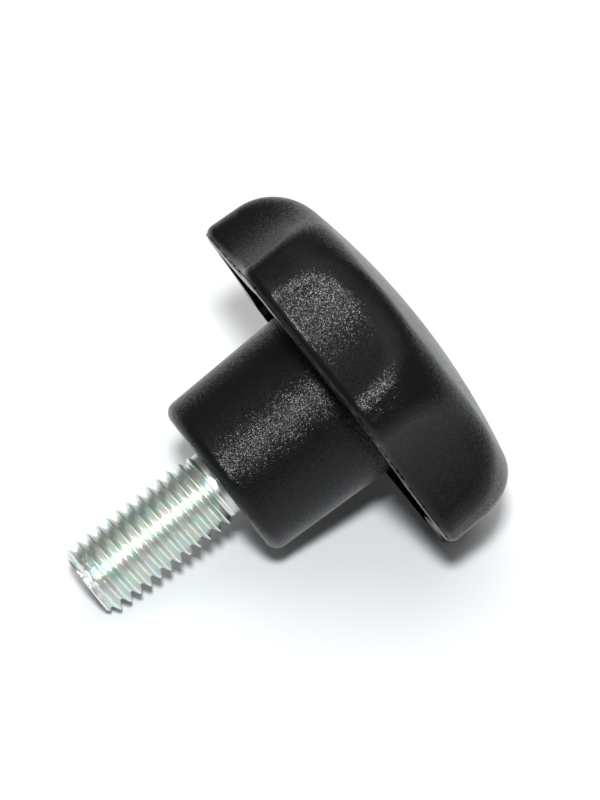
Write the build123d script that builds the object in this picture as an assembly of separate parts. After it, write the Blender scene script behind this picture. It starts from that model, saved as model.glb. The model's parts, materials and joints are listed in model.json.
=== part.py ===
from build123d import *

import math
import os

# A seven-lobed clamping knob with a moulded-in threaded stud, lying at rest on a flat surface.
# Millimetres and degrees. Both pieces are made upright first: the knob's axis is Z, the hub's
# clamping face is z = 0, the crown points to +Z, the stud to -Z, and +X runs out through the
# middle of a flute. rest_frame() then lays them down together.

# Head
head_diameter = 41.0  # of the circle that touches every lobe, at the rim
head_height = 11.6  # rim plane to the top of the crown
lobe_count = 7
flute_depth = 2.6  # how far a flute's middle lies inside that circle
flute_radius = 18.5  # hollow curve of a flute, seen along the axis
wall_draft = 3.4  # the side wall leans in towards the crown
crown_radius = 70.0  # gentle dome
shoulder_radius = 6.2  # from the side wall over to the crown
ridge_radius = 3.6  # rounding where a flute meets the lobes and the crown
rim_edge_radius = 1.0  # rounded lower edge of the side wall
wall_thickness = 2.6  # of the moulded shell, both side wall and crown
inner_ridge_radius = 1.0  # the same rounding as ridge_radius, inside the shell

# Hub
hub_length = 14.0  # clamping face to the rim plane
hub_face_diameter = 17.9
hub_draft = 2.0  # the hub widens towards the head
hub_edge_radius = 1.3
hub_root_radius = 1.0  # where the hub runs into the underside of the crown
face_recess_depth = 0.4  # shallow ring round the stud, so that a plate can sit flat on the face
face_recess_clearance = 0.5  # from the thread's outside to the ring's edge

# Stud: M8 outside the hub, with a grooved hexagonal anchor inside it
thread_diameter = 8.0
thread_pitch = 1.25
stud_reach = 16.5  # clamping face to the stud's tip
neck_length = 1.5  # plain neck between the clamping face and the thread
anchor_start = 3.0  # clamping face to the anchor
anchor_length = 8.0
anchor_across_flats = 11.0
anchor_edge = 0.6  # chamfer on both ends of the anchor
groove_width = 2.4
groove_depth = 1.0

# Resting on a flat surface
steepest_tilt = 45.0  # an upper bound for the search; the true tilt is well under it
tilt_steps = 18

# Worked out from the sizes above
head_radius = head_diameter / 2
thread_radius = thread_diameter / 2
neck_radius = (thread_diameter - 0.6495 * thread_pitch) / 2  # the thread's pitch diameter
tip_radius = (thread_diameter - 1.2269 * thread_pitch) / 2  # the thread's root diameter
tip_chamfer = thread_radius - tip_radius
hub_face_radius = hub_face_diameter / 2
crown_top = hub_length + head_height
flute_axis_radius = head_radius - flute_depth + flute_radius
anchor_corner_radius = anchor_across_flats / math.sqrt(3)
anchor_end = anchor_start + anchor_length


def slope(angle):
    return math.tan(math.radians(angle))


def dome_height(radius, inset):
    """Height of the crown, moved in by inset, at a distance from the axis."""
    dome = crown_radius - inset
    return crown_top - inset - dome + math.sqrt(dome**2 - radius**2)


def wall_radius(height, inset):
    """Distance of the lobes' leaning wall, moved in by inset, from the axis at a height."""
    return head_radius - inset / math.cos(math.radians(wall_draft)) - (height - hub_length) * slope(wall_draft)


def shoulder_corner(inset):
    """(radius, height) where the wall, carried on upwards, would meet the crown."""
    radius = wall_radius(hub_length, inset)
    for _ in range(20):
        radius = wall_radius(dome_height(radius, inset), inset)
    return (radius, dome_height(radius, inset))


def round_head(inset, foot):
    """The head before its flutes are cut: a domed, rounded disc standing on z = foot."""
    top = crown_top - inset
    corner = shoulder_corner(inset)
    halfway = (corner[0] / 2, dome_height(corner[0] / 2, inset))
    section = make_face(
        [
            Line((0, foot), (wall_radius(foot, inset), foot)),
            Line((wall_radius(foot, inset), foot), corner),
            ThreePointArc(corner, halfway, (0, top)),
            Line((0, top), (0, foot)),
        ]
    )
    shoulder = section.vertices().sort_by_distance(Vector(*corner))[0]
    return revolve(Plane.XZ * fillet(shoulder, shoulder_radius - inset), Axis.Z)


def flutes(inset, foot):
    """One straight round cutter for each flute, moved in by inset, standing on z = foot."""
    cutter = Cylinder(
        flute_radius + inset,
        crown_top - foot,
        align=(Align.CENTER, Align.CENTER, Align.MIN),
    )
    return [Pos(0, 0, foot) * place * cutter for place in PolarLocations(flute_axis_radius, lobe_count)]


def is_ridge(edge, foot):
    """True for an edge a flute has left on the wall, the shoulder or the crown."""
    return edge.geom_type != GeomType.CIRCLE and edge.center().Z > foot + 0.001


def lobed_head(inset, foot, rounding):
    """The head's outer form with every face moved in by inset, standing on z = foot."""
    fluted = round_head(inset, foot) - flutes(inset, foot)
    ridges = [edge for edge in fluted.edges() if is_ridge(edge, foot)]
    return fillet(ridges, rounding)


def shell():
    """The hollow head, with its lower outer edge rounded."""
    outside = lobed_head(0, hub_length, ridge_radius)
    rim = [edge for edge in outside.edges() if abs(edge.center().Z - hub_length) < 0.001]
    outside = fillet(rim, rim_edge_radius)
    inside = lobed_head(wall_thickness, hub_length - wall_thickness, inner_ridge_radius)
    return outside - inside


def hub():
    """The tapered hub, from its clamping face up into the crown."""
    height = crown_top - wall_thickness / 2
    cone = Cone(
        hub_face_radius,
        hub_face_radius + height * slope(hub_draft),
        height,
        align=(Align.CENTER, Align.CENTER, Align.MIN),
    )
    face_edge = [edge for edge in cone.edges() if edge.geom_type == GeomType.CIRCLE and edge.center().Z < 0.001]
    return fillet(face_edge, hub_edge_radius)


def is_hub_root(edge):
    """True for the ring where the hub meets the underside of the crown."""
    middle = edge @ 0.5
    if middle.Z < hub_length + head_height / 2 or middle.Z > dome_height(0, wall_thickness) + 0.001:
        return False
    from_axis = math.hypot(middle.X, middle.Y)
    return abs(from_axis - hub_face_radius - middle.Z * slope(hub_draft)) < 0.001


def turned_stud():
    """Everything of the stud that is round: neck and thread outside the hub, shank inside it."""
    outline = Polyline(
        (0, -stud_reach),
        (tip_radius, -stud_reach),
        (thread_radius, -stud_reach + tip_chamfer),
        (thread_radius, -neck_length),
        (neck_radius, -neck_length),
        (neck_radius, anchor_start + anchor_edge),
        (0, anchor_start + anchor_edge),
        close=True,
    )
    return revolve(Plane.XZ * make_face(outline), Axis.Z)


def anchor():
    """The hexagonal anchor, chamfered at both ends and grooved round its middle."""
    middle = anchor_start + anchor_length / 2
    groove_radius = anchor_across_flats / 2 - groove_depth
    outline = Polyline(
        (0, anchor_start),
        (anchor_corner_radius - anchor_edge, anchor_start),
        (anchor_corner_radius, anchor_start + anchor_edge),
        (anchor_corner_radius, middle - groove_width / 2),
        (groove_radius, middle - groove_width / 2),
        (groove_radius, middle + groove_width / 2),
        (anchor_corner_radius, middle + groove_width / 2),
        (anchor_corner_radius, anchor_end - anchor_edge),
        (anchor_corner_radius - anchor_edge, anchor_end),
        (0, anchor_end),
        close=True,
    )
    blank = revolve(Plane.XZ * make_face(outline), Axis.Z)
    hexagon = RegularPolygon(anchor_corner_radius, 6)
    return blank & Pos(0, 0, anchor_start) * extrude(hexagon, anchor_length)


def threaded_stud():
    return turned_stud() + anchor()


def face_recess():
    """The shallow ring round the stud in the clamping face."""
    return Cylinder(
        thread_radius + face_recess_clearance,
        face_recess_depth,
        align=(Align.CENTER, Align.CENTER, Align.MIN),
    )


def knob_body():
    """Shell and hub in one moulding, shaped closely round the stud's hidden end."""
    body = shell() + hub()
    root = [edge for edge in body.edges() if is_hub_root(edge)]
    body = fillet(root, hub_root_radius)
    return body - face_recess() - threaded_stud()


def laid_down(solid, tilt):
    """The solid with the knob's axis in the XZ plane, crown towards +X and raised by tilt."""
    return Rot(0, 90 - tilt, 0) * solid


def rest_tilt(body, stud):
    """Tilt at which the head's lowest lobes and the stud's tip touch one flat surface."""
    low = 0.0
    high = steepest_tilt
    for _ in range(tilt_steps):
        tilt = (low + high) / 2
        body_bottom = laid_down(body, tilt).bounding_box().min.Z
        stud_bottom = laid_down(stud, tilt).bounding_box().min.Z
        if body_bottom < stud_bottom:
            low = tilt
        else:
            high = tilt
    return (low + high) / 2


def rest_frame(body, stud):
    """Both solids at rest: lowest points on z = 0, bounding box centred over the origin."""
    tilt = rest_tilt(body, stud)
    body = laid_down(body, tilt)
    stud = laid_down(stud, tilt)
    box = body.bounding_box().add(stud.bounding_box())
    shift = Pos(-(box.min.X + box.max.X) / 2, -(box.min.Y + box.max.Y) / 2, -box.min.Z)
    return shift * body, shift * stud, tilt, shift


def main():
    os.makedirs("parts", exist_ok=True)
    body, stud, tilt, shift = rest_frame(knob_body(), threaded_stud())
    export_step(body, "parts/knob_body.step")
    export_step(stud, "parts/threaded_stud.step")
    print("resting tilt", round(tilt, 4), "hub face centre", shift.position)


if __name__ == "__main__":
    main()
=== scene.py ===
import json
import math

import bpy
from mathutils import Matrix, Vector


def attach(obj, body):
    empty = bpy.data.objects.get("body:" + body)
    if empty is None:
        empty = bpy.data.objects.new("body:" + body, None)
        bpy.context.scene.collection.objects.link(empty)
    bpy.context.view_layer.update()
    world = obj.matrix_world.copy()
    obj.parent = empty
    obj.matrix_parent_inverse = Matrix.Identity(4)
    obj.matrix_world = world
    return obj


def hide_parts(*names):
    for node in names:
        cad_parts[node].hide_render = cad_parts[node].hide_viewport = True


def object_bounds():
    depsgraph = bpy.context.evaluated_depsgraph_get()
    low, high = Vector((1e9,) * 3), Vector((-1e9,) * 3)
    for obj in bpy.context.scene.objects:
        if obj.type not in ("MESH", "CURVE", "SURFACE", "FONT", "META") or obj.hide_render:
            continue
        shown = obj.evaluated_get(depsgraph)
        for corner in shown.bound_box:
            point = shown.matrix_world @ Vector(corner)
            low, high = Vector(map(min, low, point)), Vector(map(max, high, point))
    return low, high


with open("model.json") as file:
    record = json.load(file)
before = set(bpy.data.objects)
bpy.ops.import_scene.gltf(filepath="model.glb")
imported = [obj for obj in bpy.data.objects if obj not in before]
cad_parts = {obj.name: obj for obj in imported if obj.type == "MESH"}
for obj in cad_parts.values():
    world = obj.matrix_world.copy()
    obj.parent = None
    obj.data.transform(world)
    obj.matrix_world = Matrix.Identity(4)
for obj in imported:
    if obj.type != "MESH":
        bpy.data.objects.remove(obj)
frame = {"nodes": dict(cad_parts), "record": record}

cad_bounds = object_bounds()

MM = 0.001

# ---------------------------------------------------------------- places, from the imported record
mounts = {mount["name"]: mount for mount in frame["record"]["mounts"]}
stud_mount = mounts["stud"]
to_tip = Vector(stud_mount["axis"]).normalized()
to_crown = -to_tip
thread_middle = Vector(stud_mount["pos_m"])
thread_length = stud_mount["dims"]["length_mm"] * MM
thread_radius = stud_mount["dims"]["r_mm"] * MM
face_point = Vector(mounts["hub_face"]["pos_m"])
face_centre = thread_middle + to_crown * (face_point - thread_middle).dot(to_crown)
neck_length = (thread_middle - face_centre).length - thread_length / 2

# The knob's own frame: origin in the middle of the hub's clamping face, Z to the crown, and
# X out through the flute that lies underneath.
sideways = Vector((0, 1, 0))
through_flute = sideways.cross(to_crown)
knob_turn = Matrix((through_flute, sideways, to_crown)).transposed().to_4x4()
knob_frame = Matrix.Translation(face_centre) @ knob_turn

# ---------------------------------------------------------------- sizes
# The stud
PITCH = 1.25 * MM
ROWS_PER_PITCH = 32
SEGMENTS = 144
ROOT_DEPTH = 0.61 * PITCH
CREST_FLAT = PITCH / 8
CREST_TURN = 0.61  # of one turn: where round the stud its first crest starts
FLANK_SLOPE = math.sqrt(3)  # a thread of 60 degrees
TIP_RADIUS = thread_radius - 0.767 * MM
TIP_CLEARANCE = 0.005 * MM
NECK_RADIUS = 3.6 * MM
RUN_OUT = 1.0 * MM  # how far the thread fades into the neck
RUN_OUT_EARLY = 0.25  # of the run-out: how far before the neck the fading starts
SUNK_IN_HUB = 0.4 * MM
WELD = 0.002 * MM
face_to_tip = neck_length + thread_length + (thread_radius - TIP_RADIUS)

# The chips in the first turns at the stud's tip
CHIPS_ROUND = 3.0
CHIPS_ALONG = 3000.0
CHIP_SCALE = 1.3
CHIP_START = 0.52  # the noise above this is a chip
CHIP_DEPTH = 0.9 * MM
CHIPS_NONE = 2.6 * MM  # from the tip
CHIPS_FULL = 0.4 * MM

# The moulding flash
RIM_HEIGHT = 14.0 * MM  # from the clamping face to the rim plane
RIM_FLATNESS = 0.02 * MM
RIM_STEP = math.radians(2.0)
FLASH_OUT = 0.5 * MM  # outwards from the rim's flat land, on its rounded edge
FLASH_UP = 0.134 * MM
FLASH_LEAST = 0.025 * MM
FLASH_MOST = 0.12 * MM
FLASH_SCALE = 1500.0
FLASH_THIN = 0.46  # at this noise the bead is thinnest
FLASH_THICK = 0.72
LOOP_POINTS = 900

# The head, for its plastic
WALL_RADIUS = 15.0 * MM  # the head's side wall is all outside this
RIM_BAND = 1.3 * MM
CROWN_TOP = 25.6 * MM  # from the clamping face to the top of the crown
CROWN_RADIUS = 70.0 * MM
CROWN_MIDDLE = 2.5 * MM
CROWN_BLEND = 0.7 * MM
CROWN_DEPTH = 1.0 * MM  # the crown's middle is all nearer its top than this
CROWN_BELOW = 1.5 * MM

# ---------------------------------------------------------------- colours and surfaces
BLACK = (0.0045, 0.0047, 0.005, 1)
PLASTIC_SHINE = 0.17
GRAIN_SIZE = 0.062 * MM
GRAIN_TILT = 0.36
PLASTIC_PATCHES = 300.0
PLASTIC_SMOOTHEST = 0.18
PLASTIC_UNEVEN = 0.14
PLASTIC_WAVES = 2600.0
PLASTIC_WAVE_DEPTH = 0.03 * MM

ZINC_BLUE = (0.60, 0.75, 0.80, 1)
ZINC_GREEN = (0.74, 0.80, 0.70, 1)
ZINC_PINK = (0.76, 0.70, 0.78, 1)
ZINC_TINTS = 800.0
ZINC_GRAIN = 3200.0
ZINC_GRAIN_DEPTH = 0.02 * MM
ZINC_SMOOTHEST = 0.24
ZINC_UNEVEN = 0.2

TABLE_WHITE = (0.86, 0.88, 0.90, 1)
TABLE_ROUGHNESS = 0.55
TABLE_HALF = 3.0  # metres, from its middle to an edge

# ---------------------------------------------------------------- light
# Where each light stands: shares of the way to the camera, to its left and up from it.
SKY_COLOUR = (0.97, 0.97, 0.97, 1)
SKY_STRENGTH = 0.2
LAMP_TOWARDS = (1.0, 0.03, 0.18)
LAMP_DISTANCE = 1.2
LAMP_WIDTH = 0.12
LAMP_POWER = 14.6
LAMP_COLOUR = (0.97, 0.985, 1.0)
SOFTBOX_TOWARDS = (0.55, -0.05, 0.8)
SOFTBOX_DISTANCE = 0.9
SOFTBOX_WIDTH = 1.1
SOFTBOX_POWER = 4.6
SOFTBOX_COLOUR = (1.0, 0.975, 0.94)

# ---------------------------------------------------------------- camera
# It stands square to the knob's axis, over a point on it, and turned about it from straight
# above towards the viewer. It then looks a little to one side of that point.
VIEW_TURN = math.radians(39.7)
VIEW_DISTANCE = 584.7 * MM
VIEW_ALONG = -2.75 * MM  # from the clamping face towards the crown
AIM_RIGHT = 10.32 * MM
AIM_UP = 9.73 * MM
VIEW_ROLL = math.radians(0.5)
SENSOR = 24.0
LENS = 177.1


# ---------------------------------------------------------------- node helpers
class Value:
    """A number that flows through a node tree, so that sums can be written as sums."""

    def __init__(self, tree, socket):
        self.tree = tree
        self.socket = socket

    def math(self, operation, *others):
        node = self.tree.nodes.new("ShaderNodeMath")
        node.operation = operation
        for socket, value in zip(node.inputs, (self,) + others):
            feed(self.tree, socket, value)
        return Value(self.tree, node.outputs[0])

    def __add__(self, other):
        return self.math("ADD", other)

    def __sub__(self, other):
        return self.math("SUBTRACT", other)

    def __mul__(self, other):
        return self.math("MULTIPLY", other)

    def __truediv__(self, other):
        return self.math("DIVIDE", other)

    def at_least(self, other):
        return self.math("MAXIMUM", other)

    def at_most(self, other):
        return self.math("MINIMUM", other)

    def rises(self, start, end):
        """0 before start, 1 after end, and smooth between them."""
        node = self.tree.nodes.new("ShaderNodeMapRange")
        node.interpolation_type = "SMOOTHSTEP"
        feed(self.tree, node.inputs["Value"], self)
        feed(self.tree, node.inputs["From Min"], start)
        feed(self.tree, node.inputs["From Max"], end)
        return Value(self.tree, node.outputs["Result"])


def feed(tree, socket, value):
    """Joins a value to a socket: another socket, a Value or a constant."""
    if isinstance(value, Value):
        value = value.socket
    if isinstance(value, bpy.types.NodeSocket):
        tree.links.new(value, socket)
    else:
        socket.default_value = value


def add_node(tree, kind, **inputs):
    """A new node with its inputs filled in. An input's _ stands for a space."""
    node = tree.nodes.new(kind)
    for name, value in inputs.items():
        feed(tree, node.inputs[name.replace("_", " ")], value)
    return node


def combined(tree, x, y, z):
    return add_node(tree, "ShaderNodeCombineXYZ", X=x, Y=y, Z=z).outputs[0]


def separated(tree, vector):
    node = add_node(tree, "ShaderNodeSeparateXYZ", Vector=vector)
    return [Value(tree, socket) for socket in node.outputs]


def noise_value(tree, vector, scale, detail=2.0):
    node = add_node(tree, "ShaderNodeTexNoise", Vector=vector, Scale=scale, Detail=detail)
    return Value(tree, node.outputs[0])


def vector_math(tree, operation, *values):
    node = tree.nodes.new("ShaderNodeVectorMath")
    node.operation = operation
    for socket, value in zip(node.inputs, values):
        feed(tree, socket, value)
    return node


def scaled(tree, vector, factor):
    node = vector_math(tree, "SCALE", vector)
    feed(tree, node.inputs["Scale"], factor)
    return node.outputs[0]


# ---------------------------------------------------------------- geometry node trees
def new_geometry_tree(name, inputs, takes_mesh=False):
    """An empty geometry node tree with named number inputs, and a Value for each input."""
    tree = bpy.data.node_groups.new(name, "GeometryNodeTree")
    if takes_mesh:
        tree.interface.new_socket("Mesh", in_out="INPUT", socket_type="NodeSocketGeometry")
    for label in inputs:
        tree.interface.new_socket(label, in_out="INPUT", socket_type="NodeSocketFloat")
    tree.interface.new_socket("Mesh", in_out="OUTPUT", socket_type="NodeSocketGeometry")
    entry = tree.nodes.new("NodeGroupInput")
    return tree, entry, {label: Value(tree, entry.outputs[label]) for label in inputs}


def finish_tree(tree, mesh, material):
    """Ends the tree in realized instances with a material."""
    realized = add_node(tree, "GeometryNodeRealizeInstances", Geometry=mesh)
    painted = add_node(
        tree, "GeometryNodeSetMaterial", Geometry=realized.outputs[0], Material=material
    )
    exit_node = tree.nodes.new("NodeGroupOutput")
    tree.links.new(painted.outputs[0], exit_node.inputs["Mesh"])


def plain_mesh(name, tree, values, start=None):
    """Runs the tree once in the knob's frame and keeps an ordinary mesh object at the origin."""
    maker_mesh = start or bpy.data.meshes.new(name + "_start")
    maker = bpy.data.objects.new(name + "_maker", maker_mesh)
    bpy.context.scene.collection.objects.link(maker)
    modifier = maker.modifiers.new("shape", "NODES")
    modifier.node_group = tree
    for item in tree.interface.items_tree:
        if item.in_out == "INPUT" and item.name in values:
            modifier[item.identifier] = values[item.name]
    evaluated = maker.evaluated_get(bpy.context.evaluated_depsgraph_get())
    mesh = bpy.data.meshes.new_from_object(evaluated)
    bpy.data.objects.remove(maker)
    mesh.transform(knob_frame)
    piece = bpy.data.objects.new(name, mesh)
    bpy.context.scene.collection.objects.link(piece)
    return piece


# ---------------------------------------------------------------- the threaded stud
def thread_surface(size, turn, height):
    """The thread's radius where a point lies this part of a turn round, at this height."""
    phase = (height / size["Pitch"] - turn + CREST_TURN).math("FRACT")
    from_crest = (phase - 0.5).math("ABSOLUTE") * size["Pitch"]
    flank = (from_crest - CREST_FLAT / 2) * FLANK_SLOPE
    return size["Radius"] - flank.at_least(0.0).at_most(size["Root Depth"])


def chips(tree, angle, height, from_tip):
    """How deep the thread is chipped away, in its first turns from the tip."""
    round_x = angle.math("COSINE") * CHIPS_ROUND
    round_y = angle.math("SINE") * CHIPS_ROUND
    noise = noise_value(tree, combined(tree, round_x, round_y, height * CHIPS_ALONG), CHIP_SCALE)
    near_tip = from_tip.rises(CHIPS_NONE, CHIPS_FULL)
    return (noise - CHIP_START).at_least(0.0) * near_tip * CHIP_DEPTH


def thread_tree(material):
    """A closed stud along -Z: its neck starts at z = Sunk and its tip is at z = -Reach.

    The grid's columns run along the stud and its rows follow the helix, so each crest and root
    is a clean edge. Rows that would pass either end are held there, and then welded together.
    """
    labels = ["Radius", "Pitch", "Reach", "Neck Length", "Neck Radius", "Tip Radius"]
    labels += ["Sunk", "Run Out", "Root Depth"]
    tree, _, size = new_geometry_tree("thread", labels)
    turns = math.ceil((face_to_tip + SUNK_IN_HUB) / PITCH) + 1
    rows = turns * ROWS_PER_PITCH + 1
    grid = add_node(tree, "GeometryNodeMeshGrid", Size_X=1.0, Size_Y=1.0)
    feed(tree, grid.inputs["Vertices X"], SEGMENTS + 1)
    feed(tree, grid.inputs["Vertices Y"], rows)
    across, along, _ = separated(tree, tree.nodes.new("GeometryNodeInputPosition").outputs[0])
    turn = across + 0.5
    angle = turn * math.tau
    free = (along + 0.5) * (turns * PITCH) - turn * size["Pitch"]
    height = (size["Sunk"] - free).at_least(size["Reach"] * -1.0).at_most(size["Sunk"])

    from_tip = size["Reach"] + height
    thread = thread_surface(size, turn, height) - chips(tree, angle, height, from_tip)
    cone = size["Tip Radius"] + from_tip
    thread = thread.at_most(cone)

    from_neck = height + size["Neck Length"]
    into_neck = from_neck.rises(size["Run Out"] * -RUN_OUT_EARLY, size["Run Out"])
    radius = thread + (size["Neck Radius"] - thread) * into_neck
    between_ends = along.math("ABSOLUTE").math("LESS_THAN", 0.5 - 0.25 / rows)
    radius = radius * between_ends
    place = combined(tree, angle.math("COSINE") * radius, angle.math("SINE") * radius, height)
    shaped = add_node(
        tree, "GeometryNodeSetPosition", Geometry=grid.outputs[0], Position=place
    )
    welded = add_node(
        tree, "GeometryNodeMergeByDistance", Geometry=shaped.outputs[0], Distance=WELD
    )
    finish_tree(tree, welded.outputs[0], material)
    return tree


def make_stud(material):
    sizes = {
        "Radius": thread_radius,
        "Pitch": PITCH,
        "Reach": face_to_tip - TIP_CLEARANCE,
        "Neck Length": neck_length,
        "Neck Radius": NECK_RADIUS,
        "Tip Radius": TIP_RADIUS,
        "Sunk": SUNK_IN_HUB,
        "Run Out": RUN_OUT,
        "Root Depth": ROOT_DEPTH,
    }
    stud = plain_mesh("thread_m8", thread_tree(material), sizes)
    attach(stud, "root")
    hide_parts("threaded_stud")
    return stud


# ---------------------------------------------------------------- the moulding flash on the rim
def rim_outline():
    """The outer edge of the rim's flat land, as (angle, radius) pairs sorted by angle."""
    to_knob = knob_frame.inverted()
    outermost = {}
    for vertex in frame["nodes"]["knob_body"].data.vertices:
        point = to_knob @ vertex.co
        if abs(point.z - RIM_HEIGHT) > RIM_FLATNESS:
            continue
        angle = math.atan2(point.y, point.x)
        step = round(angle / RIM_STEP)
        radius = math.hypot(point.x, point.y)
        if radius > outermost.get(step, (0.0, 0.0))[1]:
            outermost[step] = (angle, radius)
    return sorted(outermost.values())


def radius_between(outline, angle):
    """The outline's radius at an angle, straight between its neighbouring points."""
    before = [(a - math.tau, r) for a, r in outline[-2:]]
    after = [(a + math.tau, r) for a, r in outline[:2]]
    wrapped = before + outline + after
    for (low, low_radius), (high, high_radius) in zip(wrapped, wrapped[1:]):
        if low <= angle <= high:
            share = (angle - low) / (high - low)
            return low_radius + (high_radius - low_radius) * share
    return wrapped[0][1]


def flash_loop():
    """A closed loop of edges just outside the rim's flat land."""
    outline = rim_outline()
    height = RIM_HEIGHT + FLASH_UP
    points = []
    for step in range(LOOP_POINTS):
        angle = -math.pi + math.tau * step / LOOP_POINTS
        radius = radius_between(outline, angle) + FLASH_OUT
        points.append((radius * math.cos(angle), radius * math.sin(angle), height))
    edges = [(step, (step + 1) % LOOP_POINTS) for step in range(LOOP_POINTS)]
    mesh = bpy.data.meshes.new("flash_loop")
    mesh.from_pydata(points, edges, [])
    return mesh


def flash_tree(material):
    """A thin ragged bead that follows a closed loop of edges."""
    tree, entry, size = new_geometry_tree("flash", ["Least", "Most"], takes_mesh=True)
    place = tree.nodes.new("GeometryNodeInputPosition").outputs[0]
    ragged = noise_value(tree, place, FLASH_SCALE, 3.0).rises(FLASH_THIN, FLASH_THICK)
    thickness = size["Least"] + (size["Most"] - size["Least"]) * ragged
    curve = add_node(tree, "GeometryNodeMeshToCurve", Mesh=entry.outputs["Mesh"])
    ring = add_node(tree, "GeometryNodeCurvePrimitiveCircle", Resolution=8, Radius=1.0)
    bead = add_node(tree, "GeometryNodeCurveToMesh", Curve=curve.outputs[0], Scale=thickness)
    tree.links.new(ring.outputs[0], bead.inputs["Profile Curve"])
    finish_tree(tree, bead.outputs[0], material)
    return tree


def make_flash(material):
    sizes = {"Least": FLASH_LEAST, "Most": FLASH_MOST}
    flash = plain_mesh("rim_flash", flash_tree(material), sizes, start=flash_loop())
    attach(flash, "root")
    return flash


# ---------------------------------------------------------------- materials
def new_material(name):
    material = bpy.data.materials.new(name)
    material.use_nodes = True
    tree = material.node_tree
    shader = tree.nodes["Principled BSDF"]
    place = tree.nodes.new("ShaderNodeTexCoord").outputs["Object"]
    return material, tree, shader, place


def height_along_knob(tree, place):
    """Distance from the clamping face towards the crown."""
    along = Value(tree, vector_math(tree, "DOT_PRODUCT", place, to_crown).outputs["Value"])
    return along - face_centre.dot(to_crown)


def radius_on_knob(tree, place):
    """Distance from the knob's axis."""
    offset = vector_math(tree, "SUBTRACT", place, face_centre).outputs[0]
    across = vector_math(tree, "CROSS_PRODUCT", offset, to_crown).outputs[0]
    return Value(tree, vector_math(tree, "LENGTH", across).outputs["Value"])


def even_normal(tree, place):
    """The surface's normal, and the dome's own where the mesh is uneven: at the crown's middle."""
    normal = tree.nodes.new("ShaderNodeNewGeometry").outputs["Normal"]
    dome_centre = face_centre + to_crown * (CROWN_TOP - CROWN_RADIUS)
    outwards = vector_math(tree, "SUBTRACT", place, dome_centre).outputs[0]
    dome = vector_math(tree, "NORMALIZE", outwards).outputs[0]
    inside = radius_on_knob(tree, place).rises(CROWN_MIDDLE, CROWN_MIDDLE - CROWN_BLEND)
    height = height_along_knob(tree, place)
    on_crown = height.rises(CROWN_TOP - CROWN_BELOW, CROWN_TOP - CROWN_DEPTH)
    change = vector_math(tree, "SUBTRACT", dome, normal).outputs[0]
    changed = scaled(tree, change, inside * on_crown)
    return vector_math(tree, "ADD", normal, changed).outputs[0]


def facets(tree, place, size, tilt):
    """A normal that leans a random way on each small grain of the surface."""
    cells = add_node(tree, "ShaderNodeTexVoronoi", Vector=place, Scale=1.0 / size)
    lean = vector_math(tree, "SUBTRACT", cells.outputs["Color"], (0.5, 0.5, 0.5)).outputs[0]
    normal = even_normal(tree, place)
    leaned = vector_math(tree, "ADD", normal, scaled(tree, lean, tilt)).outputs[0]
    return vector_math(tree, "NORMALIZE", leaned).outputs[0]


def black_plastic():
    """Glass-filled black plastic with a fine spark-eroded grain, smoother along the rim."""
    material, tree, shader, place = new_material("black_plastic")
    shader.inputs["Base Color"].default_value = BLACK
    shader.inputs["Specular IOR Level"].default_value = PLASTIC_SHINE
    from_rim = (height_along_knob(tree, place) - RIM_HEIGHT).math("ABSOLUTE")
    off_wall = radius_on_knob(tree, place).rises(WALL_RADIUS, WALL_RADIUS - 1.0 * MM)
    grained = from_rim.rises(RIM_BAND * 0.6, RIM_BAND).at_least(off_wall)
    patches = noise_value(tree, place, PLASTIC_PATCHES, 4.0)
    feed(tree, shader.inputs["Roughness"], patches * PLASTIC_UNEVEN + PLASTIC_SMOOTHEST)
    depth = (patches * 0.5 + 0.75) * (grained * 0.75 + 0.25) * GRAIN_TILT
    bump = add_node(tree, "ShaderNodeBump", Strength=0.5, Distance=PLASTIC_WAVE_DEPTH)
    feed(tree, bump.inputs["Height"], noise_value(tree, place, PLASTIC_WAVES))
    feed(tree, bump.inputs["Normal"], facets(tree, place, GRAIN_SIZE, depth))
    feed(tree, shader.inputs["Normal"], bump.outputs[0])
    return material


def zinc_plate():
    """Bright zinc with the faint changing tints of a clear passivation."""
    material, tree, shader, place = new_material("zinc_plate")
    shader.inputs["Metallic"].default_value = 1.0
    tint = noise_value(tree, place, ZINC_TINTS, 3.0)
    ramp = add_node(tree, "ShaderNodeValToRGB", Fac=tint)
    stops = ramp.color_ramp.elements
    stops[0].position = 0.30
    stops[0].color = ZINC_BLUE
    stops[1].position = 0.72
    stops[1].color = ZINC_PINK
    stops.new(0.5).color = ZINC_GREEN
    feed(tree, shader.inputs["Base Color"], ramp.outputs[0])
    fine = noise_value(tree, place, ZINC_GRAIN, 3.0)
    feed(tree, shader.inputs["Roughness"], fine * ZINC_UNEVEN + ZINC_SMOOTHEST)
    bump = add_node(tree, "ShaderNodeBump", Strength=0.25, Distance=ZINC_GRAIN_DEPTH)
    feed(tree, bump.inputs["Height"], fine)
    feed(tree, shader.inputs["Normal"], bump.outputs[0])
    return material


# ---------------------------------------------------------------- floor, light and camera
def make_floor():
    """A wide white table top that stays white behind the knob and takes its soft shadow."""
    half = TABLE_HALF
    corners = [(-half, -half, 0), (half, -half, 0), (half, half, 0), (-half, half, 0)]
    mesh = bpy.data.meshes.new("table_top")
    mesh.from_pydata(corners, [], [(0, 1, 2, 3)])
    floor = bpy.data.objects.new("table_top", mesh)
    bpy.context.scene.collection.objects.link(floor)
    material, _, shader, _ = new_material("white_table")
    shader.inputs["Base Color"].default_value = TABLE_WHITE
    shader.inputs["Roughness"].default_value = TABLE_ROUGHNESS
    mesh.materials.append(material)


def make_world():
    world = bpy.data.worlds.new("studio")
    world.use_nodes = True
    background = world.node_tree.nodes["Background"]
    background.inputs["Color"].default_value = SKY_COLOUR
    background.inputs["Strength"].default_value = SKY_STRENGTH
    bpy.context.scene.world = world


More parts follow.
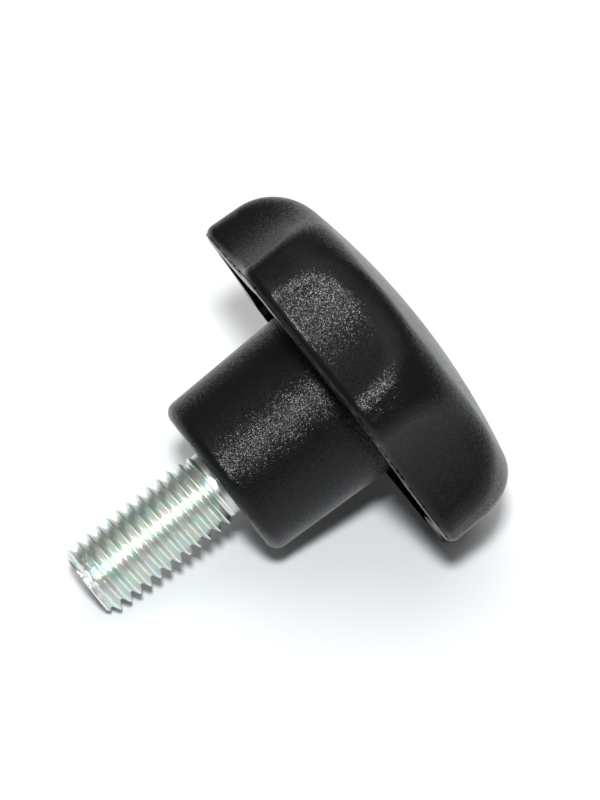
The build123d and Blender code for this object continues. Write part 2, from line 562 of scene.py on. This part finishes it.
def make_softbox(name, place, aim, width, power, colour):
    data = bpy.data.lights.new(name, "AREA")
    data.shape = "SQUARE"
    data.size = width
    data.energy = power
    data.color = colour
    lamp = bpy.data.objects.new(name, data)
    lamp.location = place
    lamp.rotation_euler = (Vector(aim) - Vector(place)).to_track_quat("-Z", "Y").to_euler()
    bpy.context.scene.collection.objects.link(lamp)


def view_direction():
    """From the knob to the camera."""
    above = -through_flute
    return above * math.cos(VIEW_TURN) - sideways * math.sin(VIEW_TURN)


def seen_direction(towards, left, up):
    """A direction from the knob, put together from the camera's own three."""
    away = view_direction()
    leftwards = away.cross(Vector((0, 0, 1))).normalized()
    upwards = leftwards.cross(away)
    return (away * towards + leftwards * left + upwards * up).normalized()


def light_the_knob(middle):
    """A small lamp just above the camera, and a wide softbox high over the knob."""
    lamp_place = middle + seen_direction(*LAMP_TOWARDS) * LAMP_DISTANCE
    make_softbox("lamp", lamp_place, middle, LAMP_WIDTH, LAMP_POWER, LAMP_COLOUR)
    softbox_place = middle + seen_direction(*SOFTBOX_TOWARDS) * SOFTBOX_DISTANCE
    make_softbox(
        "softbox", softbox_place, middle, SOFTBOX_WIDTH, SOFTBOX_POWER, SOFTBOX_COLOUR
    )


def make_camera():
    data = bpy.data.cameras.new("camera")
    data.sensor_fit = "VERTICAL"
    data.sensor_height = SENSOR
    data.lens = LENS
    data.clip_start = 0.01
    camera = bpy.data.objects.new("camera", data)
    away = view_direction()
    foot = face_centre + to_crown * VIEW_ALONG
    camera.location = foot + away * VIEW_DISTANCE
    right = Vector((0, 0, 1)).cross(away).normalized()
    aim = foot + right * AIM_RIGHT + away.cross(right) * AIM_UP
    level = (aim - camera.location).to_track_quat("-Z", "Y").to_matrix()
    camera.rotation_euler = (level @ Matrix.Rotation(VIEW_ROLL, 3, "Z")).to_euler()
    bpy.context.scene.collection.objects.link(camera)
    bpy.context.scene.camera = camera


def main():
    plastic = black_plastic()
    knob = frame["nodes"]["knob_body"]
    knob.data.materials.clear()
    knob.data.materials.append(plastic)
    make_stud(zinc_plate())
    make_flash(plastic)
    make_floor()
    make_world()
    middle = (cad_bounds[0] + cad_bounds[1]) / 2
    light_the_knob(middle)
    make_camera()
    bpy.context.scene.view_settings.view_transform = "Standard"


main()
